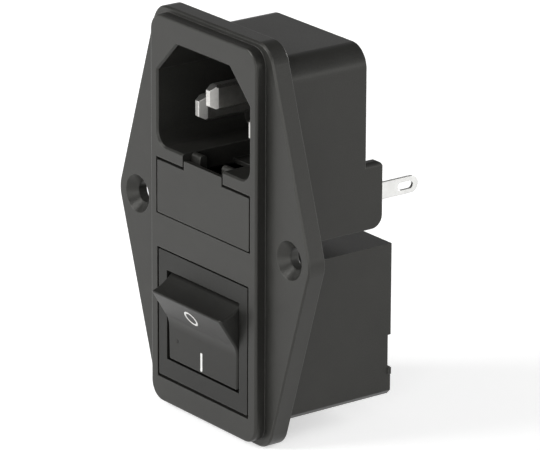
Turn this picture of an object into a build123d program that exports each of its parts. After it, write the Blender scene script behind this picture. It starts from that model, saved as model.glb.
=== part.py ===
from build123d import *
import os
from math import cos, hypot, radians, sin, tan

# Power entry module: an appliance inlet, a two-fuse drawer and a two-pole
# rocker switch in one moulded housing that screws into a panel from the front.
# Millimetres. The origin lies midway between the two screws on the plane of
# the panel seat. X runs to the right seen from the front, Y into the panel
# and Z up.

# Screws and wings
screw_spacing = 40.0
screw_hole_d = 3.4
countersink_d = 6.3
wing_t = 3.0
wing_tip_r = 5.0
wing_corner_r = 4.0
wing_corner_inset = 2.0
wing_lip = 0.85
wing_edge_bevel = 0.3

# Raised front face
face_rise = 1.8
face_corner_r = 2.9
face_edge_r = 0.4
face_side_border = 1.85
face_top_border = 3.94

# Inlet: the socket that the appliance connector enters
inlet_z = 19.32
inlet_w = 24.1
inlet_h = 17.27
inlet_chamfer = 5.2
inlet_bottom_r = 2.2
inlet_depth = 16.9
inlet_bevel = 0.3
inlet_floor_t = 1.8
inlet_side_wall = 1.03
inlet_top_wall = 0.84
inlet_block_corner_r = 3.6
contact_room_depth = 1.8
contact_room_border = 1.2
inlet_cover_t = 1.2
inlet_cover_gap = 0.1
inlet_cover_corner_r = 2.4

# Contact pins
pin_w = 2.0
pin_h = 4.0
pin_edge_bevel = 0.35
pin_tip_len = 1.4
pin_tip_w = 0.9
pin_tip_h = 2.5
pin_pitch = 14.0
pin_row_drop = 2.35
earth_pin_raise = 4.0
earth_pin_setback = 1.0
live_pin_setback = 4.0
pin_fit = 0.05
pin_shoulder = 0.6
pin_shoulder_t = 0.6
pin_tail_w = 1.2
pin_tail_h = 2.4
pin_tail_len = 0.9

# Solder tabs
tab_h = 2.76
tab_hole_w = 3.0
tab_hole_h = 1.3
tab_hole_setback = 1.0
earth_tab_t = 0.8
earth_tab_tip_y = 25.0

# Strips that feed the fuses from the line and neutral pins
link_w = 3.0
link_t = 0.6
link_above_pin = 1.6
link_fuse_gap = 0.15

# Fuse drawer
drawer_z = 3.84
drawer_w = 24.08
drawer_h = 8.62
drawer_corner_r = 0.2
drawer_plate_t = 1.6
drawer_tab_w = 9.9
drawer_tab_rise = 1.5
drawer_tab_t = 0.8
drawer_lug_w = 2.3
drawer_lug_x = 4.0
drawer_lug_t = 1.3
drawer_lug_rise = 2.55
drawer_floor_t = 0.85
drawer_floor_gap = 0.15
drawer_bed_h = 1.2
drawer_rear_wall_t = 0.8
drawer_rear_wall_h = 3.6
drawer_web_x = 3.7
drawer_web_t = 0.8
drawer_web_h = 4.6
drawer_rib_t = 0.8
fit_gap = 0.35
drawer_recess_raise = 0.12
notch_depth = 9.8
notch_floor_z = 8.25

# Fuses, 5 x 20 mm
fuse_d = 5.2
fuse_len = 20.0
fuse_cap_len = 5.2
fuse_cap_t = 0.25
fuse_glass_d = 4.6
fuse_glass_t = 0.55
fuse_wire_d = 0.25
fuse_spacing = 15.2
fuse_side_room = 1.1
fuse_end_gap = 0.6
fuse_bed_gap = 0.1

# Fuse chamber and the block round it
chamber_h = 7.4
chamber_rear_gap = 0.9
chamber_rear_wall = 1.0
chamber_floor_wall = 1.2
chamber_roof_wall = 1.0
chamber_side_wall = 1.78
cheek_w = 1.68
cheek_rise = 1.12
cheek_r = 0.8
fuse_block_rear_r = 2.0

# Fuse contacts along the chamber's sides
fuse_contact_t = 0.5
fuse_contact_wall_gap = 0.05
fuse_contact_leaf_gap = 0.15
fuse_contact_bow_y = 0.6
fuse_contact_bow_start_y = 5.0
fuse_contact_end_y = -1.6
fuse_tab_tip_y = 28.7

# Switch: where it sits
switch_z = -16.92
switch_frame_side_lip = 1.1
switch_frame_end_lip = 0.97
switch_frame_t = 1.6
switch_frame_corner_r = 0.15
switch_recess_shift_x = -0.08
switch_recess_shift_z = -0.12
switch_recess_gap = 0.4
switch_box_side_wall = 1.0
switch_box_end_wall = 1.7
switch_rear_inset = 0.4
switch_pocket_gap = 0.6
switch_side_wall = 1.88
switch_top_wall = 2.66
switch_bottom_wall = 2.46
switch_block_depth = 22.2
switch_block_corner = 0.8
switch_base_t = 1.2
switch_base_spigot = 1.4
switch_base_gap = 0.1
rear_notch_depth = 0.55
rear_notch_z = -22.05
rear_notch_h = 5.4
rear_nib_z = -25.35
rear_nib_h = 1.1
rear_nib_len = 0.6
rear_nib_rise = 0.2

# Rocker
rocker_w = 18.7
rocker_side_gap = 0.25
rocker_tip_w = 18.1
rocker_taper_start = 1.0
rocker_swing = 16.0
rocker_kink = 2.376
rocker_kink_r = 4.0
rocker_tip_z = 6.32
rocker_shoulder_y = 0.15
rocker_shoulder_z = 7.1
rocker_end_hollow = 0.35
rocker_end_gap = 0.2
rocker_skirt = 2.0
rocker_cap_t = 1.3
rocker_wall = 1.2
pivot_behind_face = 2.284
trunnion_r = 1.25
trunnion_gap = 0.07
trunnion_len = 1.1

# Spring plungers in the rocker
pole_x = 4.5
tower_r = 2.0
tower_len = 5.0
plunger_r = 1.15
plunger_gap = 0.07
plunger_nose_r = 1.6
plunger_reach = 9.75
plunger_back = 3.4
spring_seat = 0.6
spring_gap = 0.05
spring_outer_r = 1.08
spring_wire_d = 0.3
plunger_blade_gap = 0.3

# See-saw contacts
blade_w = 3.4
blade_t = 0.6
blade_slope = 13.5
blade_rock = 6.0
blade_end_gap = 1.05
knuckle_r = 0.7
knuckle_front = 0.75
knuckle_gap = 0.08
ear_setback = 0.05
contact_r = 0.95
contact_t = 0.4
contact_offset = 0.7
contact_from_end = 1.1
contact_air = 0.05

# Switch terminals
terminal_t = 0.8
terminal_pad_w = 2.4
terminal_slot_gap = 0.05
terminal_tip_y = 27.5

# Places that follow from the sizes above
screw_x = screw_spacing / 2
wing_front = -wing_t
face_front = wing_front - face_rise
inlet_top = inlet_z + inlet_h / 2
inlet_bottom = inlet_z - inlet_h / 2
rocker_room_w = rocker_w + 2 * rocker_side_gap
rocker_tip_y = rocker_kink + rocker_tip_z * tan(radians(rocker_swing))
rocker_room_r = hypot(rocker_tip_y, rocker_tip_z) + rocker_end_gap
switch_box_w = rocker_room_w + 2 * switch_box_side_wall
switch_box_h = 2 * (rocker_room_r + switch_box_end_wall)
switch_frame_w = switch_box_w + 2 * switch_frame_side_lip
switch_frame_h = switch_box_h + 2 * switch_frame_end_lip
switch_pocket_w = switch_box_w + 2 * switch_pocket_gap
switch_pocket_h = switch_box_h + 2 * switch_pocket_gap
face_w = max(inlet_w, drawer_w, switch_frame_w) + 2 * face_side_border
face_h = 2 * (inlet_top + face_top_border)
inlet_floor_y = face_front + inlet_depth
contact_room_y = inlet_floor_y + inlet_floor_t
inlet_cover_y = contact_room_y + contact_room_depth
inlet_block_rear = inlet_cover_y + inlet_cover_t
inlet_block_w = inlet_w + 2 * inlet_side_wall
chamber_w = fuse_spacing + fuse_d + 2 * fuse_side_room
fuse_block_w = chamber_w + 2 * chamber_side_wall
switch_block_w = switch_pocket_w + 2 * switch_side_wall
live_pin_z = inlet_z - pin_row_drop
earth_pin_z = live_pin_z + earth_pin_raise
drawer_back = face_front + drawer_plate_t
drawer_top = drawer_z + drawer_h / 2
chamber_bottom = drawer_z - chamber_h / 2
chamber_top = drawer_z + chamber_h / 2
fuse_x = fuse_spacing / 2
fuse_z = chamber_bottom + drawer_floor_gap + drawer_floor_t + fuse_bed_gap + fuse_d / 2
fuse_front = drawer_back + fuse_end_gap
fuse_rear = fuse_front + fuse_len
drawer_rear = fuse_rear + fuse_bed_gap + drawer_rear_wall_t
chamber_rear = drawer_rear + chamber_rear_gap
fuse_block_rear = chamber_rear + chamber_rear_wall
fuse_block_bottom = chamber_bottom - chamber_floor_wall
fuse_block_top = chamber_top + chamber_roof_wall
link_y = contact_room_y + pin_shoulder_t
fuse_contact_x = chamber_w / 2 - fuse_contact_wall_gap - fuse_contact_t / 2
fuse_contact_z = drawer_z + 0.16
pivot_y = face_front + pivot_behind_face
frame_back = face_front + switch_frame_t
switch_block_top = switch_z + switch_pocket_h / 2 + switch_top_wall
switch_block_bottom = switch_z - switch_pocket_h / 2 - switch_bottom_wall
switch_box_rear = switch_block_depth - switch_rear_inset - switch_base_t
blade_y = pivot_y + plunger_reach + plunger_blade_gap + knuckle_front
contact_slope = blade_slope - blade_rock
blade_arm = (rocker_room_r - blade_end_gap) / cos(radians(blade_slope))
contact_arm = blade_arm - contact_from_end


def prism(sketch, front, back):
    """A sketch in X and Z, made solid between two places along Y."""
    plane = Plane((0, back, 0), x_dir=(1, 0, 0), z_dir=(0, -1, 0))
    return extrude(plane * sketch, amount=back - front, dir=(0, -1, 0))


def side_prism(sketch, x, width):
    """A side profile in Y and Z, made solid over a width centred on x."""
    plane = Plane((x - width / 2, 0, 0), x_dir=(0, 1, 0), z_dir=(1, 0, 0))
    return extrude(plane * sketch, amount=width, dir=(1, 0, 0))


def plan_prism(sketch, z, height):
    """A plan in X and Y, made solid over a height centred on z."""
    plane = Plane((0, 0, z - height / 2))
    return extrude(plane * sketch, amount=height, dir=(0, 0, 1))


def block(x, y, z):
    """A box between a pair of limits along each axis."""
    limits = (x, y, z)
    middle = [(low + high) / 2 for low, high in limits]
    return Pos(*middle) * Box(*[high - low for low, high in limits])


def rod(x, z, r, front, back):
    """A round bar along Y."""
    return prism(Pos(x, z) * Circle(r), front, back)


def flange_outline():
    """Straight edges drawn tight round the screw tips and the four corners."""
    corner_x = face_w / 2 - wing_corner_inset
    corner_z = face_h / 2 + wing_lip - wing_corner_r
    rounds = [Pos(side * screw_x, 0) * Circle(wing_tip_r) for side in (-1, 1)]
    for across in (-1, 1):
        for up in (-1, 1):
            rounds.append(Pos(across * corner_x, up * corner_z) * Circle(wing_corner_r))
    return make_hull([edge for disc in rounds for edge in disc.edges()])


def inlet_outline(grow):
    """The socket's opening: bevelled top corners, rounded bottom corners."""
    shape = Pos(0, inlet_z) * Rectangle(inlet_w + 2 * grow, inlet_h + 2 * grow)
    shape = chamfer(shape.vertices().group_by(Axis.Y)[-1], inlet_chamfer + grow / 2)
    return fillet(shape.vertices().group_by(Axis.Y)[0], inlet_bottom_r + grow)


def contact_room_outline(gap):
    """The room behind the inlet's floor, and with a gap the cover in it."""
    width = inlet_block_w - 2 * contact_room_border - 2 * gap
    bottom = inlet_bottom + 0.2 + gap
    top = inlet_top + inlet_top_wall - contact_room_border - gap
    middle = (bottom + top) / 2
    return Pos(0, middle) * RectangleRounded(width, top - bottom, inlet_cover_corner_r)


def drawer_outline(grow):
    """The drawer's front with its finger tab, grown by the gap round it."""
    plate = Pos(0, drawer_z) * RectangleRounded(
        drawer_w + 2 * grow, drawer_h + 2 * grow, drawer_corner_r)
    tab_low = drawer_top - drawer_h / 2
    tab_high = drawer_top + drawer_tab_rise + grow
    tab = Pos(0, (tab_low + tab_high) / 2) * RectangleRounded(
        drawer_tab_w + 2 * grow, tab_high - tab_low, drawer_corner_r)
    return plate + tab


def main_housing():
    """One moulding: screw flange, raised face, inlet shroud, fuse chamber
    and switch pocket."""
    flange = prism(flange_outline(), wing_front, 0)
    flange = chamfer(flange.faces().sort_by(Axis.Y)[0].edges(), wing_edge_bevel)
    face = prism(RectangleRounded(face_w, face_h, face_corner_r), face_front, wing_front)
    face = fillet(face.faces().sort_by(Axis.Y)[0].edges(), face_edge_r)
    body = flange + face

    # Rear blocks, each as deep as what it holds
    inlet_block_top = inlet_top + inlet_top_wall
    upper = prism(
        Pos(0, (inlet_block_top + fuse_block_bottom) / 2)
        * Rectangle(inlet_block_w, inlet_block_top - fuse_block_bottom), 0, inlet_block_rear)
    crown = upper.edges().filter_by(Axis.Y).group_by(Axis.Z)[-1]
    upper = fillet(crown, inlet_block_corner_r)
    fuse_block = block((-fuse_block_w / 2, fuse_block_w / 2), (0, fuse_block_rear),
                       (fuse_block_bottom, fuse_block_top))
    heel = fuse_block.edges().filter_by(Axis.X).group_by(Axis.Y)[-1].sort_by(Axis.Z)[0]
    fuse_block = fillet(heel, fuse_block_rear_r)
    body += upper + fuse_block
    cheek_top = fuse_block_top + cheek_rise
    for side in (-1, 1):
        cheek = block((-cheek_w / 2, cheek_w / 2), (inlet_block_rear - 1, fuse_block_rear),
                      (fuse_block_top - 2, cheek_top))
        brow = cheek.edges().filter_by(Axis.X).group_by(Axis.Y)[-1].sort_by(Axis.Z)[-1]
        outer = cheek.edges().filter_by(Axis.Y).group_by(Axis.Z)[-1].sort_by(
            Axis.X)[-1 if side > 0 else 0]
        body += Pos(side * (fuse_block_w - cheek_w) / 2, 0, 0) * fillet([brow, outer], cheek_r)
    switch_mid = (switch_block_top + switch_block_bottom) / 2
    lower = prism(
        Pos(0, switch_mid) * Rectangle(switch_block_w, switch_block_top - switch_block_bottom),
        0, switch_block_depth)
    feet = lower.edges().filter_by(Axis.Y).group_by(Axis.Z)[0]
    body += chamfer(feet, switch_block_corner)
    body += block((switch_block_w / 2 - 1, switch_block_w / 2 + rear_nib_rise),
                  (switch_block_depth - rear_nib_len, switch_block_depth),
                  (rear_nib_z - rear_nib_h / 2, rear_nib_z + rear_nib_h / 2))

    # Inlet socket, with a bevelled mouth, and the room behind its floor
    body -= prism(inlet_outline(0), face_front, inlet_floor_y)
    mouth_plane = Plane((0, face_front, 0), x_dir=(1, 0, 0), z_dir=(0, -1, 0))
    body -= extrude(mouth_plane * inlet_outline(inlet_bevel), amount=inlet_bevel,
                    dir=(0, 1, 0), taper=45)
    body -= prism(contact_room_outline(0), contact_room_y, inlet_block_rear)
    for x, z in pin_places:
        body -= prism(Pos(x, z) * Rectangle(pin_w + 2 * pin_fit, pin_h + 2 * pin_fit),
                      inlet_floor_y, contact_room_y)

    # Fuse chamber, the recess for the drawer's front and the notch for its tab
    body -= prism(Pos(0, drawer_z) * Rectangle(chamber_w, chamber_h), face_front, chamber_rear)
    body -= prism(Pos(0, drawer_recess_raise) * drawer_outline(fit_gap),
                  face_front, drawer_back + 0.1)
    notch_w = drawer_tab_w + 2 * fit_gap
    notch_top = inlet_bottom + inlet_bevel
    body -= block((-notch_w / 2, notch_w / 2), (face_front, face_front + notch_depth),
                  (drawer_z, notch_top))
    body -= block((-notch_w / 2, notch_w / 2), (face_front + notch_depth, inlet_floor_y),
                  (notch_floor_z, notch_top))
    for side in (-1, 1):
        body -= slot_for(side * fuse_contact_x, fuse_contact_z, fuse_contact_t, tab_h,
                         chamber_rear, fuse_block_rear)
        body -= block((side * pin_pitch / 2 - link_w / 2 - pin_fit,
                       side * pin_pitch / 2 + link_w / 2 + pin_fit),
                      (link_y - pin_fit, link_y + link_t + pin_fit),
                      (chamber_top, inlet_bottom + 1))

    # Switch pocket, the recess for the switch's front and its release notch
    body -= prism(Pos(0, switch_z) * Rectangle(switch_pocket_w, switch_pocket_h),
                  face_front, switch_block_depth)
    body -= prism(
        Pos(switch_recess_shift_x, switch_z + switch_recess_shift_z) * RectangleRounded(
            switch_frame_w + 2 * switch_recess_gap, switch_frame_h + 2 * switch_recess_gap,
            switch_frame_corner_r),
        face_front, frame_back + 0.05)
    body -= block((switch_block_w / 2 - switch_side_wall, switch_block_w / 2 + 1),
                  (switch_block_depth - rear_notch_depth, switch_block_depth),
                  (rear_notch_z - rear_notch_h / 2, rear_notch_z + rear_notch_h / 2))

    # Countersunk screw holes
    sink_depth = (countersink_d - screw_hole_d) / 2
    for side in (-1, 1):
        body -= rod(side * screw_x, 0, screw_hole_d / 2, wing_front, 0)
        cone = Cone(screw_hole_d / 2, countersink_d / 2, sink_depth)
        body -= Pos(side * screw_x, wing_front + sink_depth / 2, 0) * Rot(90, 0, 0) * cone
    return body


def slot_for(x, z, thickness, height, front, back):
    """A slot that a flat strip standing on edge passes through."""
    return block((x - thickness / 2 - terminal_slot_gap, x + thickness / 2 + terminal_slot_gap),
                 (front, back),
                 (z - height / 2 - terminal_slot_gap, z + height / 2 + terminal_slot_gap))


def inlet_rear_cover():
    """Plate that closes the room behind the inlet, slotted for the earth tab."""
    plate = prism(contact_room_outline(inlet_cover_gap), inlet_cover_y, inlet_block_rear)
    return plate - slot_for(0, earth_pin_z, earth_tab_t, tab_h, inlet_cover_y, inlet_block_rear)


def contact_pin(x, z, tip_y):
    """A flat contact pin with a tapered tip and a shoulder behind the floor."""
    tip = loft([Plane((x, y, z), x_dir=(1, 0, 0), z_dir=(0, -1, 0)) * Rectangle(w, h)
                for y, w, h in ((tip_y, pin_tip_w, pin_tip_h),
                                (tip_y + pin_tip_len, pin_w, pin_h))])
    blade = tip + prism(Pos(x, z) * Rectangle(pin_w, pin_h), tip_y + pin_tip_len,
                        contact_room_y)
    section = Pos(x, z) * Rectangle(pin_w, pin_h)
    blade &= prism(chamfer(section.vertices(), pin_edge_bevel), tip_y, contact_room_y)
    shoulder = prism(
        Pos(x, z) * Rectangle(pin_w + 2 * pin_shoulder, pin_h + 2 * pin_shoulder),
        contact_room_y, contact_room_y + pin_shoulder_t)
    return blade + shoulder


def live_pin(side):
    """Line or neutral pin, with the tail that holds its link strip."""
    x = side * pin_pitch / 2
    tail = prism(Pos(x, live_pin_z) * Rectangle(pin_tail_w, pin_tail_h),
                 link_y, link_y + pin_tail_len)
    return contact_pin(x, live_pin_z, face_front + live_pin_setback) + tail


def tab_profile(front, tip, z):
    """Side view of a solder tab: rounded end and an oval wire hole."""
    r = tab_h / 2
    strip = Pos((front + tip - r) / 2, z) * Rectangle(tip - r - front, tab_h)
    strip += Pos(tip - r, z) * Circle(r)
    hole_mid = tip - tab_hole_setback - tab_hole_w / 2
    return strip - Pos(hole_mid, z) * SlotOverall(tab_hole_w, tab_hole_h)


def earth_pin():
    """Earth pin in one piece with the solder tab behind the cover."""
    pin = contact_pin(0, earth_pin_z, face_front + earth_pin_setback)
    return pin + side_prism(tab_profile(link_y, earth_tab_tip_y, earth_pin_z), 0, earth_tab_t)


def link_strip(side):
    """Strip from a live pin's tail down onto the rear cap of its fuse."""
    x = side * pin_pitch / 2
    bottom = fuse_z + fuse_d / 2 + link_fuse_gap
    top = live_pin_z + pin_h / 2 + link_above_pin
    strip = prism(Pos(x, (bottom + top) / 2) * Rectangle(link_w, top - bottom),
                  link_y, link_y + link_t)
    strip = fillet(strip.edges().filter_by(Axis.Y), link_t)
    return strip - prism(
        Pos(x, live_pin_z) * Rectangle(pin_tail_w + 2 * pin_fit, pin_tail_h + 2 * pin_fit),
        link_y, link_y + link_t)


def fuse_contact(side):
    """Strip along the chamber's side, bowed onto the fuse's front cap and
    carried out of the back as a solder tab."""
    bow_x = fuse_x + fuse_d / 2 + fuse_contact_leaf_gap
    straight_x = fuse_contact_x - fuse_contact_t / 2
    inner = Polyline(
        (straight_x, fuse_contact_bow_start_y), (bow_x, fuse_contact_bow_y),
        (straight_x, fuse_contact_end_y))
    leaf_line = fillet(inner.vertices().sort_by(Axis.Y)[1], 1.5)
    outer = Pos(fuse_contact_t, 0) * leaf_line
    ends = [Line(leaf_line.vertices().sort_by(Axis.Y)[k], outer.vertices().sort_by(Axis.Y)[k])
            for k in (0, -1)]
    leaf = plan_prism(make_face(leaf_line.edges() + outer.edges() + [e.edge() for e in ends]),
                      fuse_contact_z, tab_h)
    strip = side_prism(tab_profile(fuse_contact_bow_start_y, fuse_tab_tip_y, fuse_contact_z),
                       fuse_contact_x, fuse_contact_t)
    contact = strip + leaf
    return contact if side > 0 else mirror(contact, Plane.YZ)


def fuse_drawer():
    """Drawer front with finger tab, and a tray with a bed for each fuse."""
    front = prism(drawer_outline(0), face_front, drawer_back)
    floor_z = chamber_bottom + drawer_floor_gap
    floor_top = floor_z + drawer_floor_t
    tray_w = chamber_w - 2 * drawer_floor_gap
    drawer = front + block((-tray_w / 2, tray_w / 2), (drawer_back, drawer_rear),
                           (floor_z, floor_top))
    bed_y = (drawer_back, drawer_rear)
    for side in (-1, 1):
        x = side * fuse_x
        drawer += block((x - fuse_d / 2, x + fuse_d / 2), bed_y,
                        (floor_top, floor_top + drawer_bed_h))
        drawer -= rod(x, fuse_z, fuse_d / 2 + fuse_bed_gap, fuse_front - fuse_bed_gap,
                      fuse_rear + fuse_bed_gap)
        drawer += block((x - fuse_d / 2, x + fuse_d / 2), (drawer_rear - drawer_rear_wall_t,
                        drawer_rear), (floor_top, floor_top + drawer_rear_wall_h))
        web_x = side * drawer_web_x
        drawer += block((web_x - drawer_web_t / 2, web_x + drawer_web_t / 2), bed_y,
                        (floor_top, floor_top + drawer_web_h))
        lug_bottom = fuse_z + fuse_d / 2 + fuse_bed_gap
        lug_top = drawer_top + drawer_lug_rise
        lug = block((-drawer_lug_w / 2, drawer_lug_w / 2),
                    (drawer_back, drawer_back + drawer_lug_t), (lug_bottom, lug_top))
        lug = fillet(lug.edges().filter_by(Axis.X).group_by(Axis.Z)[-1], drawer_lug_t * 0.45)
        drawer += Pos(side * drawer_lug_x, 0, 0) * lug
    drawer -= block((-drawer_tab_w, drawer_tab_w), (face_front + drawer_tab_t, drawer_back),
                    (drawer_top, drawer_top + 2 * drawer_tab_rise))
    for share in (0.25, 0.5, 0.75):
        rib_y = drawer_back + share * (drawer_rear - drawer_back)
        drawer += block((-drawer_web_x, drawer_web_x),
                        (rib_y - drawer_rib_t / 2, rib_y + drawer_rib_t / 2),
                        (floor_top, floor_top + drawer_web_h - 1))
    return drawer


def fuse_glass(side):
    """Glass tube between the caps."""
    front = fuse_front + fuse_cap_t
    back = fuse_rear - fuse_cap_t
    x = side * fuse_x
    tube = rod(x, fuse_z, fuse_glass_d / 2, front, back)
    return tube - rod(x, fuse_z, fuse_glass_d / 2 - fuse_glass_t, front, back)


def fuse_cap(side, mouth, closed):
    """Metal cap on one end of the tube, from its closed end to its mouth."""
    x = side * fuse_x
    toward_mouth = 1 if mouth > closed else -1
    cap = rod(x, fuse_z, fuse_d / 2, min(mouth, closed), max(mouth, closed))
    inside = closed + toward_mouth * fuse_cap_t
    return cap - rod(x, fuse_z, fuse_glass_d / 2, min(mouth, inside), max(mouth, inside))


def fuse_wire(side):
    """The wire that melts, from cap to cap along the tube's axis."""
    section = Pos(side * fuse_x, fuse_z) * RegularPolygon(fuse_wire_d / 2, 8)
    return prism(section, fuse_front + fuse_cap_t, fuse_rear - fuse_cap_t)


def switch_frame():
    """The switch's front frame and box, bored for the rocker's pivots."""
    plate = prism(
        Pos(0, switch_z) * RectangleRounded(switch_frame_w, switch_frame_h, switch_frame_corner_r),
        face_front, frame_back)
    box = prism(Pos(0, switch_z) * Rectangle(switch_box_w, switch_box_h), frame_back,
                switch_box_rear)
    frame = plate + box
    round_seat = Pos(pivot_y, switch_z) * Circle(rocker_room_r)
    straight_back = switch_box_rear - pivot_y
    room = round_seat + Pos(pivot_y + straight_back / 2, switch_z) * Rectangle(
        straight_back, 2 * rocker_room_r)
    frame -= side_prism(room, 0, rocker_room_w)
    bore = Pos(pivot_y, switch_z) * Circle(trunnion_r + trunnion_gap)
    return frame - side_prism(bore, 0, switch_box_w)


def switch_base():
    """Rear plate with a spigot inside the box, slotted for the terminals."""
    plate = prism(Pos(0, switch_z) * Rectangle(switch_box_w, switch_box_h),
                  switch_box_rear, switch_box_rear + switch_base_t)
    spigot = prism(
        Pos(0, switch_z) * Rectangle(rocker_room_w - 2 * switch_base_gap,
                                     2 * (rocker_room_r - switch_base_gap)),
        switch_box_rear - switch_base_spigot, switch_box_rear)
    base = plate + spigot
    for side in (-1, 1):
        for z in (switch_z, switched_z):
            base -= slot_for(side * pole_x, z, terminal_t, tab_h,
                             switch_box_rear - switch_base_spigot,
                             switch_box_rear + switch_base_t)
    return base


def rocker_profile(wall, cap, back):
    """Side view about the pivot: a shallow V across the face and hollowed
    ends, all set in by a wall and a cap thickness."""
    kink = cap - rocker_kink
    tip_z = rocker_tip_z - wall
    tip_y = kink - tip_z * tan(radians(rocker_swing))
    shoulder_z = rocker_shoulder_z - wall
    middle = ((tip_y + rocker_shoulder_y) / 2, (tip_z + shoulder_z) / 2 - rocker_end_hollow)
    lines = [Line((kink, 0), (tip_y, tip_z)),
             ThreePointArc((tip_y, tip_z), middle, (rocker_shoulder_y, shoulder_z)),
             Line((rocker_shoulder_y, shoulder_z), (back, shoulder_z)),
             Line((back, shoulder_z), (back, 0))]
    lines += [mirror(line, Plane.XZ) for line in lines]
    outline = make_face([line.edge() for line in lines])
    valley = outline.vertices().sort_by_distance((kink, 0))[0]
    return fillet(valley, rocker_kink_r)


def at_pivot(solid):
    """From the rocker's own frame, pivot at the origin, to its place at rest."""
    return Pos(0, pivot_y, switch_z) * Rot(rocker_swing, 0, 0) * solid


def rocker():
    """Hollow rocker with pivot pins and two spring towers."""
    shell = side_prism(rocker_profile(0, 0, rocker_skirt), 0, rocker_w)
    full, tip = rocker_w / 2, rocker_tip_w / 2
    plan = Polygon((-full, rocker_skirt), (-full, -rocker_taper_start), (-tip, -rocker_tip_y),
                   (tip, -rocker_tip_y), (full, -rocker_taper_start), (full, rocker_skirt),
                   align=None)
    shell &= plan_prism(plan, 0, 4 * rocker_tip_z)
    hollow = rocker_profile(rocker_wall, rocker_cap_t, rocker_skirt + 1)
    shell -= side_prism(hollow, 0, rocker_w - 2 * rocker_wall)
    shell += side_prism(Circle(trunnion_r), 0, rocker_w + 2 * trunnion_len)
    shell -= side_prism(hollow, 0, rocker_w - 2 * rocker_wall)
    for side in (-1, 1):
        tower = rod(side * pole_x, 0, tower_r, rocker_cap_t - rocker_kink - 0.3, tower_len)
        shell += tower
        shell -= rod(side * pole_x, 0, plunger_r + plunger_gap, spring_seat, tower_len)
    return at_pivot(shell)


def plunger(side):
    """Round-nosed plunger that slides in its tower."""
    x = side * pole_x
    stem = rod(x, 0, plunger_r, plunger_back, plunger_reach)
    nose_start = plunger_reach - plunger_nose_r
    nose = Pos(x, nose_start, 0) * Sphere(plunger_nose_r)
    return at_pivot(stem & (nose + rod(x, 0, plunger_nose_r, plunger_back, nose_start)))


def plunger_spring(side):
    """The coil spring's envelope between the tower's floor and the plunger."""
    x = side * pole_x
    front = spring_seat + spring_gap
    back = plunger_back - spring_gap
    coil = rod(x, 0, spring_outer_r, front, back)
    return at_pivot(coil - rod(x, 0, spring_outer_r - spring_wire_d, front, back))


def at_knuckle(solid):
    """From the blade's own frame, knuckle at the origin, to its place at rest."""
    return Pos(0, blade_y, switch_z) * Rot(-blade_rock, 0, 0) * solid


def on_arm(solid, x, back):
    """Seat something on the back of the blade's upper arm."""
    lean = Rot(blade_slope, 0, 0)
    return Pos(x, -knuckle_front, 0) * lean * Pos(0, blade_t + back, contact_arm) * solid


def contact_blade(side):
    """Shallow V of sheet that rocks on the knuckle pressed into its middle."""
    lean = radians(blade_slope)
    run = blade_arm * sin(lean)
    rise = blade_arm * cos(lean)
    front = [(-knuckle_front - run, rise), (-knuckle_front, 0), (-knuckle_front - run, -rise)]
    step = blade_t / cos(lean)
    back = [(y + step, z) for y, z in reversed(front)]
    sheet = make_face(Polyline(*front, *back, close=True).edges())
    return at_knuckle(side_prism(sheet + Circle(knuckle_r), side * pole_x, blade_w))


def button():
    """A contact button on a Y axis, its seat at the origin, facing backwards."""
    return Rot(-90, 0, 0) * Pos(0, 0, contact_t / 2) * Cylinder(contact_r, contact_t)


def blade_contact(side):
    """Contact button on the back of the blade's upper arm."""
    return at_knuckle(on_arm(button(), side * (pole_x + contact_offset), 0))


def fixed_contact(side):
    """Contact button on the switched terminal, facing the blade's button."""
    facing = Rot(180, 0, 0) * button()
    return at_knuckle(on_arm(facing, side * (pole_x + contact_offset), contact_stack))


def switched_terminal(side):
    """Terminal with its front end bent over to carry the fixed contact."""
    pad_x = pole_x - terminal_t / 2 + terminal_pad_w / 2
    pad = block((-terminal_pad_w / 2, terminal_pad_w / 2), (0, terminal_t),
                (-tab_h / 2, tab_h / 2))
    pad = at_knuckle(on_arm(pad, pad_x, contact_stack))
    strip = side_prism(tab_profile(switched_y, terminal_tip_y, switched_z), pole_x, terminal_t)
    terminal = pad + strip
    return terminal if side > 0 else mirror(terminal, Plane.YZ)


def common_terminal(side):
    """Terminal with a round notch in its front end, where the blade rocks."""
    profile = tab_profile(blade_y + ear_setback, terminal_tip_y, switch_z)
    profile -= Pos(blade_y, switch_z) * Circle(knuckle_r + knuckle_gap)
    return side_prism(profile, side * pole_x, terminal_t)


pin_places = [(-pin_pitch / 2, live_pin_z), (pin_pitch / 2, live_pin_z), (0, earth_pin_z)]
contact_stack = 2 * contact_t + contact_air
arm_lean = radians(contact_slope)
switched_z = switch_z + contact_arm * cos(arm_lean) + 0.1
switched_y = blade_y - knuckle_front * cos(radians(blade_rock)) - contact_arm * sin(arm_lean) \
    + (blade_t + contact_stack) * cos(arm_lean) + terminal_t / 2

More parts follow.
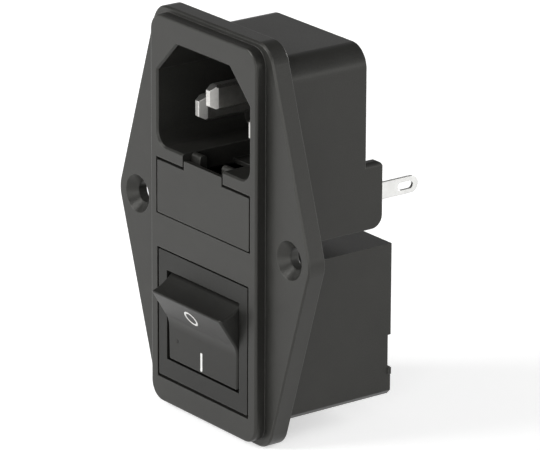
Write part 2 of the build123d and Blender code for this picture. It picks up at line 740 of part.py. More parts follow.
pieces = {
    "main_housing": main_housing(),
    "inlet_rear_cover": inlet_rear_cover(),
    "earth_pin": earth_pin(),
    "fuse_drawer": fuse_drawer(),
    "switch_frame": switch_frame(),
    "switch_base": switch_base(),
    "rocker": rocker(),
}
for name, side in (("neutral", -1), ("line", 1)):
    pieces[name + "_pin"] = live_pin(side)
    pieces[name + "_link"] = link_strip(side)
    pieces[name + "_fuse_contact"] = fuse_contact(side)
    pieces[name + "_fuse_glass"] = fuse_glass(side)
    pieces[name + "_fuse_front_cap"] = fuse_cap(side, fuse_front + fuse_cap_len, fuse_front)
    pieces[name + "_fuse_rear_cap"] = fuse_cap(side, fuse_rear - fuse_cap_len, fuse_rear)
    pieces[name + "_fuse_wire"] = fuse_wire(side)
    pieces[name + "_plunger"] = plunger(side)
    pieces[name + "_plunger_spring"] = plunger_spring(side)
    pieces[name + "_contact_blade"] = contact_blade(side)
    pieces[name + "_blade_contact"] = blade_contact(side)
    pieces[name + "_fixed_contact"] = fixed_contact(side)
    pieces[name + "_common_terminal"] = common_terminal(side)
    pieces[name + "_switched_terminal"] = switched_terminal(side)

os.makedirs("parts", exist_ok=True)
for name, solid in pieces.items():
    export_step(solid, f"parts/{name}.step")
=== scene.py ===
import bmesh
import bpy
import math
from mathutils import Matrix, Vector


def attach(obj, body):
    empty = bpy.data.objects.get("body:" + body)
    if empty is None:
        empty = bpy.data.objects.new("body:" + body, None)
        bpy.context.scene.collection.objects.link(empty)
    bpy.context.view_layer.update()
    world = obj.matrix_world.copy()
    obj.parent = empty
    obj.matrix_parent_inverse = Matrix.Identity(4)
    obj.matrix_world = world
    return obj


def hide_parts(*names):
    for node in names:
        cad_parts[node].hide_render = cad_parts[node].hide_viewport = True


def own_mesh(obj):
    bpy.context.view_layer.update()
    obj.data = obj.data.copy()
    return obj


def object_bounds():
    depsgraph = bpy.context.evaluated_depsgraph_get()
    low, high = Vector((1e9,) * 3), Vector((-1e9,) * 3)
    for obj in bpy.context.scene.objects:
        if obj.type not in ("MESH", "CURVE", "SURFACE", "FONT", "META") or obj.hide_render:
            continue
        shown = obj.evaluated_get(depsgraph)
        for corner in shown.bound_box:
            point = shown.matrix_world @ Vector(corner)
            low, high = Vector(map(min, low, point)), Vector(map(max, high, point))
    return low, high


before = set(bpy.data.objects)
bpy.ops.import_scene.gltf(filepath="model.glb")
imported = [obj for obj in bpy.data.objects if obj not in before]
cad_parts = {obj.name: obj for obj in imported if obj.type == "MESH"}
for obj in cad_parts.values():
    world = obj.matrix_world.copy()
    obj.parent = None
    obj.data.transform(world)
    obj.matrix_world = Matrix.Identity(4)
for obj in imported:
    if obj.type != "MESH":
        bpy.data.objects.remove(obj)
cad_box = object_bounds()
mm = 0.001


# Camera: it stands at the front right of the module and a little above it, and
# sees the face, the right-hand side and the solder tab at the rear.
camera_data = bpy.data.cameras.new("camera")
camera_data.sensor_width = 36.0
camera_data.lens = 332.84
camera_data.clip_start = 0.02
camera_data.clip_end = 20.0
camera = bpy.data.objects.new("camera", camera_data)
bpy.context.scene.collection.objects.link(camera)
bpy.context.scene.camera = camera
bpy.context.scene.view_settings.view_transform = "Standard"
aim = Vector((6.03, 3.73, 0.55)) * mm
camera_distance = 773.07 * mm
azimuth, elevation, roll = (math.radians(a) for a in (53.33, 18.855, 0.214))
toward_camera = Vector((math.sin(azimuth) * math.cos(elevation),
                        -math.cos(azimuth) * math.cos(elevation),
                        math.sin(elevation)))
turn = toward_camera.to_track_quat("Z", "Y").to_matrix() @ Matrix.Rotation(roll, 3, "Z")
camera.matrix_world = Matrix.Translation(aim + toward_camera * camera_distance) @ turn.to_4x4()


# Studio: a wide pale floor that the module stands on, which fills the picture
# and looks white in it, and a pale room that is whitest near the horizon.
def node(tree, kind, inputs=None, **settings):
    made = tree.nodes.new(kind)
    for key, value in settings.items():
        setattr(made, key, value)
    for socket, value in (inputs or {}).items():
        if isinstance(value, bpy.types.NodeSocket):
            tree.links.new(value, made.inputs[socket])
        else:
            made.inputs[socket].default_value = value
    return made


def math_node(tree, operation, first, second=0.5, clamp=False):
    made = node(tree, "ShaderNodeMath", {0: first, 1: second}, operation=operation,
                use_clamp=clamp)
    return made.outputs[0]


def new_material(name):
    made = bpy.data.materials.new(name)
    made.use_nodes = True
    made.node_tree.nodes.clear()
    return made, made.node_tree


def background_rays(tree):
    path = node(tree, "ShaderNodeLightPath")
    seen = math_node(tree, "ADD", path.outputs["Is Camera Ray"], path.outputs["Is Glossy Ray"])
    return math_node(tree, "ADD", seen, path.outputs["Is Transmission Ray"], clamp=True)


horizon_light, overhead_light = 1.15, 0.18
horizon_end, overhead_start = 0.10, 0.60
left_light, left_end, right_start = 0.45, -0.8, 0.5
world = bpy.data.worlds.new("pale_room")
bpy.context.scene.world = world
world.use_nodes = True
tree = world.node_tree
tree.nodes.clear()
seen_way = node(tree, "ShaderNodeTexCoord").outputs["Generated"]
way = node(tree, "ShaderNodeSeparateXYZ", {0: seen_way})
upward = node(tree, "ShaderNodeMapRange",
              {"Value": way.outputs["Z"], "From Min": horizon_end, "From Max": overhead_start,
               "To Min": horizon_light, "To Max": overhead_light},
              interpolation_type="SMOOTHSTEP")
across = node(tree, "ShaderNodeMapRange",
              {"Value": way.outputs["X"], "From Min": left_end, "From Max": right_start,
               "To Min": left_light, "To Max": 1.0}, interpolation_type="SMOOTHSTEP")
strength = math_node(tree, "MULTIPLY", upward.outputs[0], across.outputs[0])
sky = node(tree, "ShaderNodeBackground",
           {"Color": (1.0, 1.0, 1.0, 1.0), "Strength": strength})
node(tree, "ShaderNodeOutputWorld", {"Surface": sky.outputs[0]})

floor_radius, floor_sides = 3.0, 96
floor_glow = 0.56
floor_mesh = bpy.data.meshes.new("floor")
bm = bmesh.new()
bmesh.ops.create_circle(bm, cap_ends=True, segments=floor_sides, radius=floor_radius)
bmesh.ops.translate(bm, verts=bm.verts, vec=(0, 0, cad_box[0][2]))
bm.to_mesh(floor_mesh)
bm.free()
floor = bpy.data.objects.new("floor", floor_mesh)
bpy.context.scene.collection.objects.link(floor)
paper, tree = new_material("pale_paper")
seen = background_rays(tree)
lit = node(tree, "ShaderNodeBsdfDiffuse", {"Color": (0.8, 0.8, 0.8, 1.0)})
lift = math_node(tree, "MULTIPLY", seen, floor_glow)
glow = node(tree, "ShaderNodeEmission", {"Color": (1.0, 1.0, 1.0, 1.0), "Strength": lift})
both = node(tree, "ShaderNodeAddShader", {0: lit.outputs[0], 1: glow.outputs[0]})
node(tree, "ShaderNodeOutputMaterial", {"Surface": both.outputs[0]})
floor_mesh.materials.append(paper)


# Lamps, in metres and watts: a large soft key at the front left, a weaker fill
# at the front right that reaches into the inlet, and two low ones behind for
# the rear.
def softbox(name, place, size, power):
    light = bpy.data.lights.new(name, "AREA")
    light.shape = "RECTANGLE"
    light.size, light.size_y = size
    light.energy = power
    lamp = bpy.data.objects.new(name, light)
    bpy.context.scene.collection.objects.link(lamp)
    lamp.location = Vector(place)
    lamp.rotation_euler = lamp.location.to_track_quat("Z", "Y").to_euler()


softbox("key", place=(-0.35, -0.85, 0.55), size=(0.55, 0.55), power=8.8)
softbox("fill", place=(0.62, -0.72, 0.22), size=(0.35, 0.60), power=2.0)
softbox("rim", place=(0.82, 0.57, 0.10), size=(0.45, 0.16), power=0.5)
softbox("back", place=(0.10, 0.95, 0.30), size=(0.45, 0.30), power=5.0)


# Main housing: one black moulding of glass-filled thermoplastic. Its tool is
# spark-eroded, so every face has a fine even grain. The edges are paler and a
# little smoother: partly wear, partly a painted highlight for light caught on
# the rounded edges.
def make_group(name, inputs, outputs):
    group = bpy.data.node_groups.new(name, "ShaderNodeTree")
    for label, kind, value in inputs:
        socket = group.interface.new_socket(name=label, in_out="INPUT", socket_type=kind)
        socket.default_value = value
    for label, kind in outputs:
        group.interface.new_socket(name=label, in_out="OUTPUT", socket_type=kind)
    return group, node(group, "NodeGroupInput").outputs, node(group, "NodeGroupOutput").inputs


FLOAT, COLOUR, VECTOR = "NodeSocketFloat", "NodeSocketColor", "NodeSocketVector"


flat_agreement, edge_agreement = 1.0, 0.86


def edge_mask(tree, radius):
    """The normal rounded over the edges, and how far it leaves the flat one."""
    rounded = node(tree, "ShaderNodeBevel", {"Radius": radius}, samples=6)
    flat = node(tree, "ShaderNodeNewGeometry")
    agree = node(tree, "ShaderNodeVectorMath", {0: rounded.outputs[0], 1: flat.outputs["Normal"]},
                 operation="DOT_PRODUCT")
    mask = node(tree, "ShaderNodeMapRange",
                {"Value": agree.outputs["Value"], "From Min": flat_agreement,
                 "From Max": edge_agreement})
    return rounded.outputs[0], mask.outputs[0]


def noise(tree, where, scale, detail=3.0, roughness=0.55):
    made = node(tree, "ShaderNodeTexNoise",
                {"Vector": where, "Scale": scale, "Detail": detail, "Roughness": roughness})
    return made.outputs["Fac"]


def between(tree, value, low, high, from_low=0.3, from_high=0.7):
    made = node(tree, "ShaderNodeMapRange",
                {"Value": value, "From Min": from_low, "From Max": from_high,
                 "To Min": low, "To Max": high})
    return made.outputs[0]


def blended(tree, share, first, second):
    made = node(tree, "ShaderNodeMix", {0: share, 6: first, 7: second}, data_type="RGBA")
    return made.outputs[2]


def put_out(tree, result, values):
    for label, value in values.items():
        tree.links.new(value, result[label])


warm_sheen = (1.0, 0.995, 0.95, 1.0)
flow_scale, cloud_scale, wear_and_highlight_scale = 90.0, 420.0, 900.0
moulded, given, result = make_group(
    "moulded_grain",
    [("Colour", COLOUR, (0.03, 0.03, 0.03, 1)), ("Wear And Highlight Colour", COLOUR, (0.1, 0.1, 0.1, 1)),
     ("Roughness", FLOAT, 0.45), ("Grain Scale", FLOAT, 7000.0),
     ("Edge Radius", FLOAT, 0.15 * mm), ("Wear And Highlight", FLOAT, 0.3)],
    [("Colour", COLOUR), ("Roughness", FLOAT), ("Height", FLOAT), ("Rounded Normal", VECTOR)])
where = node(moulded, "ShaderNodeTexCoord").outputs["Object"]
rounded_normal, edges = edge_mask(moulded, given["Edge Radius"])
flow = noise(moulded, where, flow_scale, 4.0)
cloud = noise(moulded, where, cloud_scale, 3.0)
grain = noise(moulded, where, given["Grain Scale"], 2.0, 0.6)
# Pale edges, patchy along them: partly wear, partly a painted highlight on the rounded edges.
patchy = math_node(moulded, "MULTIPLY", edges, noise(moulded, where, wear_and_highlight_scale, 3.0))
wear_and_highlight_share = math_node(moulded, "MULTIPLY", patchy, given["Wear And Highlight"])
tone = math_node(moulded, "MULTIPLY", between(moulded, flow, 0.90, 1.10),
                 between(moulded, cloud, 0.95, 1.05))
speckled = math_node(moulded, "MULTIPLY", tone, between(moulded, grain, 0.78, 1.22))
toned = node(moulded, "ShaderNodeVectorMath", {0: given["Colour"], "Scale": speckled},
             operation="SCALE")
colour = blended(moulded, wear_and_highlight_share, toned.outputs[0], given["Wear And Highlight Colour"])
rough = math_node(moulded, "MULTIPLY", given["Roughness"], between(moulded, flow, 0.94, 1.06))
rough = math_node(moulded, "MULTIPLY", rough, between(moulded, grain, 0.86, 1.14))
rough = math_node(moulded, "SUBTRACT", rough, math_node(moulded, "MULTIPLY", wear_and_highlight_share, 0.1))
put_out(moulded, result, {"Colour": colour, "Roughness": rough, "Height": grain,
                          "Rounded Normal": rounded_normal})


def grouped_material(name, group_tree, values, depth, surface_values):
    """A material whose colour, roughness and relief come from a shared group."""
    made, tree = new_material(name)
    group = node(tree, "ShaderNodeGroup", node_tree=group_tree)
    for label, value in values.items():
        group.inputs[label].default_value = value
    bump = node(tree, "ShaderNodeBump",
                {"Height": group.outputs["Height"], "Normal": group.outputs["Rounded Normal"],
                 "Strength": 1.0, "Distance": depth})
    surface = node(tree, "ShaderNodeBsdfPrincipled",
                   {"Base Color": group.outputs["Colour"],
                    "Roughness": group.outputs["Roughness"], "Normal": bump.outputs[0],
                    **surface_values})
    node(tree, "ShaderNodeOutputMaterial", {"Surface": surface.outputs[0]})
    return made


def plastic(name, colour, wear_and_highlight_colour, roughness, grain_scale, grain_depth, edge_radius, wear_and_highlight,
            specular):
    values = {"Colour": (*colour, 1.0), "Wear And Highlight Colour": (*wear_and_highlight_colour, 1.0),
              "Roughness": roughness, "Grain Scale": grain_scale,
              "Edge Radius": edge_radius, "Wear And Highlight": wear_and_highlight}
    return grouped_material(name, moulded, values, grain_depth,
                            {"IOR": 1.5, "Specular IOR Level": specular,
                             "Specular Tint": warm_sheen})


def finish_node(name, material):
    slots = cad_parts[name].material_slots
    for slot in slots:
        slot.material = material
    if not slots:
        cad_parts[name].data.materials.append(material)


# The pale edge colour is partly wear, partly a painted highlight.
housing_colour, housing_wear_and_highlight = (0.0215, 0.0213, 0.0195), (0.16, 0.16, 0.15)
housing_black = plastic("housing_black", housing_colour, housing_wear_and_highlight, roughness=0.36,
                        grain_scale=5200.0, grain_depth=0.007 * mm, edge_radius=0.16 * mm,
                        wear_and_highlight=0.75, specular=0.36)
finish_node("main_housing", housing_black)


# Inlet rear cover: a plate of a deeper black stock, pressed into the rear of
# the inlet block, with a slightly deeper grain.
cover_black = plastic("cover_black", (0.013, 0.013, 0.013), (0.05, 0.05, 0.05),
                      roughness=0.42, grain_scale=5200.0, grain_depth=0.008 * mm,
                      edge_radius=0.12 * mm, wear_and_highlight=0.3, specular=0.5)
finish_node("inlet_rear_cover", cover_black)


# Fuse drawer: moulded in the same black plastic as the housing. Its front lies
# flush in the face, so it has the face's colour and grain.
drawer_black = plastic("drawer_black", housing_colour, housing_wear_and_highlight, roughness=0.37,
                       grain_scale=5200.0, grain_depth=0.007 * mm, edge_radius=0.14 * mm,
                       wear_and_highlight=0.75, specular=0.36)
finish_node("fuse_drawer", drawer_black)


# Switch frame and base: a separate black moulding that snaps into the pocket
# from the front, closed at the rear by the base that holds the terminals.
switch_black = plastic("switch_black", (0.013, 0.013, 0.012), (0.12, 0.12, 0.114),
                       roughness=0.38, grain_scale=6200.0, grain_depth=0.006 * mm,
                       edge_radius=0.13 * mm, wear_and_highlight=0.6, specular=0.27)
finish_node("switch_frame", switch_black)
finish_node("switch_base", switch_black)


# Rocker: moulded in black with a satin face, a little finer in grain than the
# frame. It turns on two pins, has a rounded rim round its face, and a small
# pit on the lower half, whose near-black colour is painted shade.
rocker_black = plastic("rocker_black", (0.02, 0.0198, 0.0185), (0.12, 0.12, 0.114),
                       roughness=0.38, grain_scale=7000.0, grain_depth=0.005 * mm,
                       edge_radius=0.2 * mm, wear_and_highlight=0.7, specular=0.25)
fleck_place = Vector((-6.55, -4.80, -20.5)) * mm
fleck_r, fleck_depth = 0.42 * mm, 0.1 * mm
pit_shade_colour, fleck_grain = (0.003, 0.003, 0.003, 1.0), 3500.0
tree = rocker_black.node_tree
surface = next(n for n in tree.nodes if n.type == "BSDF_PRINCIPLED")
where = node(tree, "ShaderNodeTexCoord").outputs["Object"]
away = node(tree, "ShaderNodeVectorMath", {0: where, 1: fleck_place}, operation="DISTANCE")
ragged = math_node(tree, "MULTIPLY", away.outputs["Value"],
                   between(tree, noise(tree, where, fleck_grain, 2.0), 0.6, 1.6))
pit_spot = between(tree, ragged, 1.0, 0.0, 0.6 * fleck_r, fleck_r)
clean_colour = surface.inputs["Base Color"].links[0].from_socket
clean_normal = surface.inputs["Normal"].links[0].from_socket
# Painted shade: the colour turns near black over the pit.
pit_shaded_colour = blended(tree, pit_spot, clean_colour, pit_shade_colour)
pit = node(tree, "ShaderNodeBump", {"Height": pit_spot, "Strength": 1.0, "Distance": fleck_depth,
                                    "Normal": clean_normal}, invert=True)
tree.links.new(pit_shaded_colour, surface.inputs["Base Color"])
tree.links.new(pit.outputs[0], surface.inputs["Normal"])
pivot = Vector((0.0, -2.516, -16.92)) * mm
rocker_swing = math.radians(16.0)
rocker_turn = Matrix.Rotation(rocker_swing, 4, "X")
rocker_place = Matrix.Translation(pivot) @ rocker_turn
rocker_edge_r, rocker_edge_steps = 0.35 * mm, 4
rim_end_y = 0.2 * mm
outer_x, outer_z = 8.8 * mm, 6.0 * mm
pin_root_x = 9.4 * mm
sharp_edge = math.radians(25.0)
same_corner, same_face = 0.0005 * mm, math.radians(0.4)


def closed_copy(name, source):
    """A copy of a CAD node with its corners joined and its flat faces made whole."""
    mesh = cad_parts[source].data.copy()
    mesh.name = name
    bm = bmesh.new()
    bm.from_mesh(mesh)
    bmesh.ops.remove_doubles(bm, verts=bm.verts, dist=same_corner)
    bmesh.ops.dissolve_limit(bm, angle_limit=same_face, verts=bm.verts, edges=bm.edges)
    return mesh, bm


def is_outer_edge(edge):
    ends = [rocker_place.inverted() @ corner.co for corner in edge.verts]
    beside = all(outer_x < abs(end.x) < pin_root_x for end in ends)
    above = all(abs(end.z) > outer_z for end in ends)
    ahead = all(end.y < rim_end_y for end in ends)
    return (beside or above) and ahead and edge.calc_face_angle(0.0) > sharp_edge


rocker_mesh, bm = closed_copy("rocker_cap", "rocker")
rim = [edge for edge in bm.edges if is_outer_edge(edge)]
bmesh.ops.bevel(bm, geom=rim, offset=rocker_edge_r, segments=rocker_edge_steps, profile=0.5,
                affect="EDGES", clamp_overlap=False)
bm.to_mesh(rocker_mesh)
bm.free()
rocker_cap = bpy.data.objects.new("rocker_cap", rocker_mesh)
bpy.context.scene.collection.objects.link(rocker_cap)


def even_shading(piece, crease):
    """Smooth shading that keeps flat faces flat and the sharp edges sharp."""
    for face in piece.data.polygons:
        face.use_smooth = True
    piece.data.set_sharp_from_angle(angle=crease)
    weigh = piece.modifiers.new("weigh", "WEIGHTED_NORMAL")
    weigh.keep_sharp = True
    bpy.context.view_layer.update()
    shaded = bpy.data.meshes.new_from_object(
        piece.evaluated_get(bpy.context.evaluated_depsgraph_get()))
    piece.modifiers.clear()
    piece.data = shaded


even_shading(rocker_cap, crease=math.radians(32.0))
rocker_cap.data.materials.clear()
rocker_cap.data.materials.append(rocker_black)
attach(rocker_cap, "rocker")
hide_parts("rocker")


# Plungers: natural white acetal, turned smooth, with a faint waxy sheen. Each
# slides in a tower of the rocker and bears on its contact blade.
plunger_white = plastic("plunger_white", (0.78, 0.77, 0.73), (0.85, 0.84, 0.80),
                        roughness=0.33, grain_scale=9000.0, grain_depth=0.002 * mm,
                        edge_radius=0.1 * mm, wear_and_highlight=0.2, specular=0.5)
poles = ("line", "neutral")
for pole in poles:
    finish_node(pole + "_plunger", plunger_white)


# Metal parts: pins and tabs are stamped from brass strip and plated, so they
# carry faint rolling lines, small stains and brighter, rounded edges. On the
# pins the heavy stain is partly painted shade that greys their flat tips.
line_stretch = (1.0, 0.06, 1.0)
stain_and_shade_scale, spot_scale = 700.0, 2600.0
rolled, given, result = make_group(
    "rolled_metal",
    [("Colour", COLOUR, (0.8, 0.8, 0.8, 1)), ("Dull And Shade Colour", COLOUR, (0.5, 0.5, 0.5, 1)),
     ("Roughness", FLOAT, 0.25), ("Line Scale", FLOAT, 9000.0),
     ("Edge Radius", FLOAT, 0.1 * mm), ("Stain And Shade", FLOAT, 0.3)],
    [("Colour", COLOUR), ("Roughness", FLOAT), ("Height", FLOAT), ("Rounded Normal", VECTOR)])
where = node(rolled, "ShaderNodeTexCoord").outputs["Object"]
rounded_normal, edges = edge_mask(rolled, given["Edge Radius"])
along = node(rolled, "ShaderNodeMapping", {"Vector": where, "Scale": line_stretch})
lines = noise(rolled, along.outputs[0], given["Line Scale"], 3.0)
clouds = noise(rolled, where, stain_and_shade_scale, 4.0, 0.6)
spots = between(rolled, noise(rolled, where, spot_scale, 2.0), 0.0, 1.0, 0.58, 0.72)
dull_and_shade = math_node(rolled, "MULTIPLY", between(rolled, clouds, 0.5, 1.0), given["Stain And Shade"])
dull_and_shade = math_node(rolled, "ADD", dull_and_shade, math_node(rolled, "MULTIPLY", spots, 0.12), clamp=True)
dull_and_shade = math_node(rolled, "SUBTRACT", dull_and_shade, edges, clamp=True)
colour = blended(rolled, dull_and_shade, given["Colour"], given["Dull And Shade Colour"])
rough = math_node(rolled, "MULTIPLY", given["Roughness"], between(rolled, lines, 0.88, 1.15))
rough = math_node(rolled, "ADD", rough, math_node(rolled, "MULTIPLY", dull_and_shade, 0.25), clamp=True)
put_out(rolled, result, {"Colour": colour, "Roughness": rough, "Height": lines,
                         "Rounded Normal": rounded_normal})


def metal(name, colour, dull_and_shade_colour, roughness, line_scale, line_depth, edge_radius, stain_and_shade):
    values = {"Colour": (*colour, 1.0), "Dull And Shade Colour": (*dull_and_shade_colour, 1.0),
              "Roughness": roughness, "Line Scale": line_scale,
              "Edge Radius": edge_radius, "Stain And Shade": stain_and_shade}
    return grouped_material(name, rolled, values, line_depth, {"Metallic": 1.0})


# Painted shade beside real tarnish: the pins' heavy, dark stain greys their flat tips.
pin_nickel = metal("pin_nickel", (0.80, 0.79, 0.76), (0.36, 0.355, 0.34), roughness=0.24,
                   line_scale=7000.0, line_depth=0.0004 * mm, edge_radius=0.16 * mm, stain_and_shade=0.6)
nickel = metal("bright_nickel", (0.82, 0.81, 0.78), (0.52, 0.51, 0.48), roughness=0.21,
               line_scale=7000.0, line_depth=0.0006 * mm, edge_radius=0.12 * mm, stain_and_shade=0.25)
tin = metal("bright_tin", (0.82, 0.82, 0.805), (0.50, 0.50, 0.48), roughness=0.28,
            line_scale=6000.0, line_depth=0.002 * mm, edge_radius=0.1 * mm, stain_and_shade=0.45)
brass = metal("rolled_brass", (0.80, 0.63, 0.32), (0.45, 0.32, 0.15), roughness=0.30,
              line_scale=6500.0, line_depth=0.002 * mm, edge_radius=0.1 * mm, stain_and_shade=0.4)
silver = metal("contact_silver", (0.88, 0.88, 0.87), (0.58, 0.57, 0.54), roughness=0.26,
               line_scale=8000.0, line_depth=0.0015 * mm, edge_radius=0.08 * mm, stain_and_shade=0.3)
wire = metal("tinned_wire", (0.72, 0.70, 0.65), (0.45, 0.43, 0.38), roughness=0.30,
             line_scale=9000.0, line_depth=0.001 * mm, edge_radius=0.04 * mm, stain_and_shade=0.3)
steel = metal("drawn_steel", (0.62, 0.62, 0.62), (0.35, 0.35, 0.34), roughness=0.27,
              line_scale=9000.0, line_depth=0.001 * mm, edge_radius=0.04 * mm, stain_and_shade=0.3)
finish_node("earth_pin", pin_nickel)
for pole in poles:
    finish_node(pole + "_pin", pin_nickel)
    finish_node(pole + "_link", brass)
    finish_node(pole + "_fuse_contact", tin)
    finish_node(pole + "_common_terminal", tin)
    finish_node(pole + "_switched_terminal", tin)
    finish_node(pole + "_contact_blade", brass)
    finish_node(pole + "_fixed_contact", silver)
    finish_node(pole + "_blade_contact", silver)
    finish_node(pole + "_fuse_front_cap", nickel)
    finish_node(pole + "_fuse_rear_cap", nickel)
    finish_node(pole + "_fuse_wire", wire)


# Plunger springs: hard-drawn steel wire, wound as an open coil with one closed
# turn at each end. Each sits in its tower and pushes the plunger rearwards.
coil_steps, wire_sides = 180, 12
closed_rise_in_wire_r = 2.06


def coil_tree():
    """Geometry nodes that wind a wire round the Y axis, from its front end."""
    tree = bpy.data.node_groups.new("wound_spring", "GeometryNodeTree")
    for label, kind, value in (("Coil Radius", FLOAT, 1.0), ("Wire Radius", FLOAT, 0.1),
                               ("Length", FLOAT, 3.0), ("Turns", FLOAT, 5.0),
                               ("Closed Share", FLOAT, 0.2)):
        socket = tree.interface.new_socket(name=label, in_out="INPUT", socket_type=kind)
        socket.default_value = value
    tree.interface.new_socket(name="Material", in_out="INPUT", socket_type="NodeSocketMaterial")
    tree.interface.new_socket(name="Geometry", in_out="OUTPUT", socket_type="NodeSocketGeometry")
    given, result = node(tree, "NodeGroupInput").outputs, node(tree, "NodeGroupOutput").inputs
    line = node(tree, "GeometryNodeCurvePrimitiveLine")
    path = node(tree, "GeometryNodeResampleCurve", {"Curve": line.outputs[0], "Count": coil_steps})
    along = node(tree, "GeometryNodeSplineParameter").outputs["Factor"]
    angle = math_node(tree, "MULTIPLY", math_node(tree, "MULTIPLY", along, given["Turns"]),
                      2 * math.pi)
    run = math_node(tree, "SUBTRACT", given["Length"],
                    math_node(tree, "MULTIPLY", given["Wire Radius"], 2.0))
    closed = math_node(tree, "MULTIPLY", given["Wire Radius"], closed_rise_in_wire_r)
    open_end = math_node(tree, "SUBTRACT", 1.0, given["Closed Share"])
    first = node(tree, "ShaderNodeMapRange",
                 {"Value": along, "From Max": given["Closed Share"], "To Max": closed})
    middle = node(tree, "ShaderNodeMapRange",
                  {"Value": along, "From Min": given["Closed Share"], "From Max": open_end,
                   "To Max": math_node(tree, "SUBTRACT", run,
                                       math_node(tree, "MULTIPLY", closed, 2.0))})
    last = node(tree, "ShaderNodeMapRange",
                {"Value": along, "From Min": open_end, "To Max": closed})
    rise = math_node(tree, "ADD", first.outputs[0], middle.outputs[0])
    rise = math_node(tree, "ADD", math_node(tree, "ADD", rise, last.outputs[0]),
                     given["Wire Radius"])
    place = node(tree, "ShaderNodeCombineXYZ",
                 {0: math_node(tree, "MULTIPLY", math_node(tree, "COSINE", angle),
                               given["Coil Radius"]),
                  1: rise,
                  2: math_node(tree, "MULTIPLY", math_node(tree, "SINE", angle),
                               given["Coil Radius"])})
    wound = node(tree, "GeometryNodeSetPosition",
                 {"Geometry": path.outputs[0], "Position": place.outputs[0]})
    section = node(tree, "GeometryNodeCurvePrimitiveCircle",
                   {"Resolution": wire_sides, "Radius": given["Wire Radius"]})
    tube = node(tree, "GeometryNodeCurveToMesh",
                {"Curve": wound.outputs[0], "Profile Curve": section.outputs[0],
                 "Fill Caps": True})
    solid = node(tree, "GeometryNodeRealizeInstances", {"Geometry": tube.outputs[0]})
    finished = node(tree, "GeometryNodeSetMaterial",
                    {"Geometry": solid.outputs[0], "Material": given["Material"]})
    tree.links.new(finished.outputs[0], result["Geometry"])
    return tree


def grown(name, tree, values):
    """Runs a tree on an empty object and keeps its result as a plain mesh."""
    grower = bpy.data.objects.new(name, bpy.data.meshes.new(name))
    bpy.context.scene.collection.objects.link(grower)
    modifier = grower.modifiers.new("grow", "NODES")
    modifier.node_group = tree
    for item in tree.interface.items_tree:
        if item.in_out == "INPUT" and item.name in values:
            modifier[item.identifier] = values[item.name]
    bpy.context.view_layer.update()
    mesh = bpy.data.meshes.new_from_object(
        grower.evaluated_get(bpy.context.evaluated_depsgraph_get()))
    grower.modifiers.clear()
    grower.data = mesh
    return grower


wound_spring = coil_tree()
spring_front, spring_back = 0.65 * mm, 3.35 * mm
spring_outer_r, spring_wire_r = 1.08 * mm, 0.15 * mm
spring_turns, closed_share = 5.5, 0.18
pole_x = {"line": 4.5 * mm, "neutral": -4.5 * mm}
for pole, x in pole_x.items():
    coil = grown(pole + "_spring_coil", wound_spring,
                 {"Coil Radius": spring_outer_r - spring_wire_r, "Wire Radius": spring_wire_r,
                  "Length": spring_back - spring_front, "Turns": spring_turns,
                  "Closed Share": closed_share, "Material": steel})
    coil.data.transform(rocker_place @ Matrix.Translation((x, spring_front, 0.0)))
    for face in coil.data.polygons:
        face.use_smooth = len(face.vertices) == 4
    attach(coil, "rocker")
    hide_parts(pole + "_plunger_spring")
    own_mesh(coil)


# Fuse tubes: clear glass, cut and fire-polished, with a faint green tint and
# slight waves from drawing.
fuse_glass, tree = new_material("fuse_glass")
wave_scale, wave_depth = 500.0, 0.004 * mm
where = node(tree, "ShaderNodeTexCoord").outputs["Object"]
waves = noise(tree, where, wave_scale, 2.0)
tint = blended(tree, waves, (0.96, 0.98, 0.97, 1.0), (0.90, 0.95, 0.93, 1.0))
bump = node(tree, "ShaderNodeBump", {"Height": waves, "Strength": 0.4, "Distance": wave_depth})
surface = node(tree, "ShaderNodeBsdfPrincipled",
               {"Base Color": tint, "Roughness": between(tree, waves, 0.01, 0.05),
                "Normal": bump.outputs[0], "IOR": 1.5, "Transmission Weight": 1.0})
node(tree, "ShaderNodeOutputMaterial", {"Surface": surface.outputs[0]})
for pole in poles:
    finish_node(pole + "_fuse_glass", fuse_glass)


# Marks: the O and I are printed in white on the two halves of the rocker's
# face, a few hundredths of a millimetre thick.
valley = Vector((0.0, -4.80, -17.575)) * mm
upper_lean = 2 * rocker_swing
mark_t, mark_lift = 0.03 * mm, 0.02 * mm
o_outer_r, o_inner_r = 1.5 * mm, 1.08 * mm
o_x, o_from_valley = -0.5 * mm, 3.5 * mm
i_width, i_height, i_corner_r = 0.5 * mm, 3.05 * mm, 0.12 * mm
i_x, i_z = -0.33 * mm, -22.2 * mm


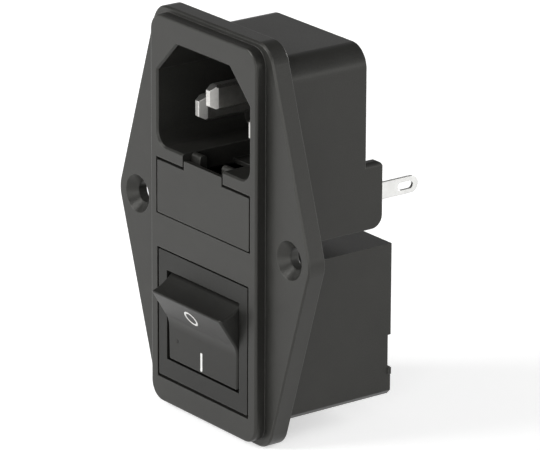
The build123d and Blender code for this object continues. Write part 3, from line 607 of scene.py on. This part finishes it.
def flat_mark(name, rings, thickness):
    """A closed band between rings of points, given a thickness towards the rear."""
    mesh = bpy.data.meshes.new(name)
    bm = bmesh.new()
    count = len(rings[0])
    layers = []
    for depth in (0.0, -thickness):
        layers.append([[bm.verts.new((x, y, depth)) for x, y in ring] for ring in rings])
    front, back = layers
    for k in range(count):
        n = (k + 1) % count
        if len(rings) == 2:
            bm.faces.new((front[0][k], front[0][n], front[1][n], front[1][k]))
            bm.faces.new((back[0][n], back[0][k], back[1][k], back[1][n]))
            bm.faces.new((front[1][n], back[1][n], back[1][k], front[1][k]))
        bm.faces.new((front[0][k], back[0][k], back[0][n], front[0][n]))
    if len(rings) == 1:
        bm.faces.new(front[0])
        bm.faces.new(list(reversed(back[0])))
    bmesh.ops.recalc_face_normals(bm, faces=bm.faces)
    bm.to_mesh(mesh)
    bm.free()
    piece = bpy.data.objects.new(name, mesh)
    bpy.context.scene.collection.objects.link(piece)
    return piece


def ring_points(r, count=64):
    return [(r * math.cos(2 * math.pi * k / count), r * math.sin(2 * math.pi * k / count))
            for k in range(count)]


def bar_points(width, height, r, steps=6):
    points = []
    for cx, cy, start in ((1, 1, 0), (-1, 1, 90), (-1, -1, 180), (1, -1, 270)):
        for k in range(steps + 1):
            a = math.radians(start + 90 * k / steps)
            points.append((cx * (width / 2 - r) + r * math.cos(a),
                           cy * (height / 2 - r) + r * math.sin(a)))
    return points


def set_on_face(piece, centre, lean):
    """Lays a flat mark, drawn in X and Y, on a face leaning forward by lean."""
    upright = Matrix.Rotation(math.radians(90), 4, "X")
    tilt = Matrix.Rotation(lean, 4, "X")
    piece.data.transform(Matrix.Translation(centre) @ tilt @ upright)


up_face = Vector((0.0, -math.sin(upper_lean), math.cos(upper_lean)))
off_face = Vector((0.0, -math.cos(upper_lean), -math.sin(upper_lean)))
o_centre = valley + Vector((o_x, 0.0, 0.0)) + up_face * o_from_valley + off_face * mark_lift
o_mark = flat_mark("o_mark", [ring_points(o_outer_r), ring_points(o_inner_r)], mark_t)
set_on_face(o_mark, o_centre, upper_lean)
i_mark = flat_mark("i_mark", [bar_points(i_width, i_height, i_corner_r)], mark_t)
set_on_face(i_mark, Vector((i_x, valley.y - mark_lift, i_z)), 0.0)

printed_white = plastic("printed_white", (0.80, 0.80, 0.78), (0.90, 0.90, 0.88), roughness=0.40,
                        grain_scale=9000.0, grain_depth=0.003 * mm, edge_radius=0.03 * mm,
                        wear_and_highlight=0.1, specular=0.5)
for mark in (o_mark, i_mark):
    mark.data.materials.append(printed_white)
    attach(mark, "rocker")
